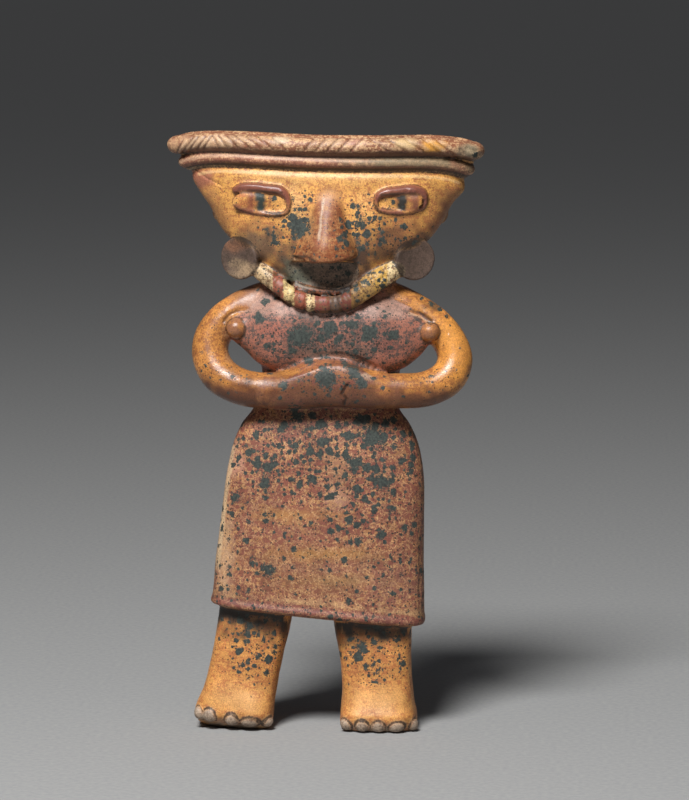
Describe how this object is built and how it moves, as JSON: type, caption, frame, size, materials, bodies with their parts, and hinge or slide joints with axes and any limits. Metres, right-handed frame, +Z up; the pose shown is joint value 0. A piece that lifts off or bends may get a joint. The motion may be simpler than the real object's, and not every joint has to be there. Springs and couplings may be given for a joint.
{
  "type": "earthenware female figurine",
  "caption": "Standing earthenware female figurine with a wide trapezoid head, rope headband, ear discs, beaded collar, folded arms and a long tube skirt.",
  "frame": {"origin": "middle of the bounding box on the surface that the soles stand on", "axes": "+Z up from the soles to the headband, +X to the right of someone facing the figurine, and the figurine faces -Y"},
  "size_m": [0.091, 0.0314, 0.1712],
  "materials": {
    "earthenware": "low-fired clay with burnished orange, cream and red slip, worn and spotted with dark mineral deposits"
  },
  "bodies": {
    "root": {"figurine": "earthenware"}
  },
  "joints": []
}
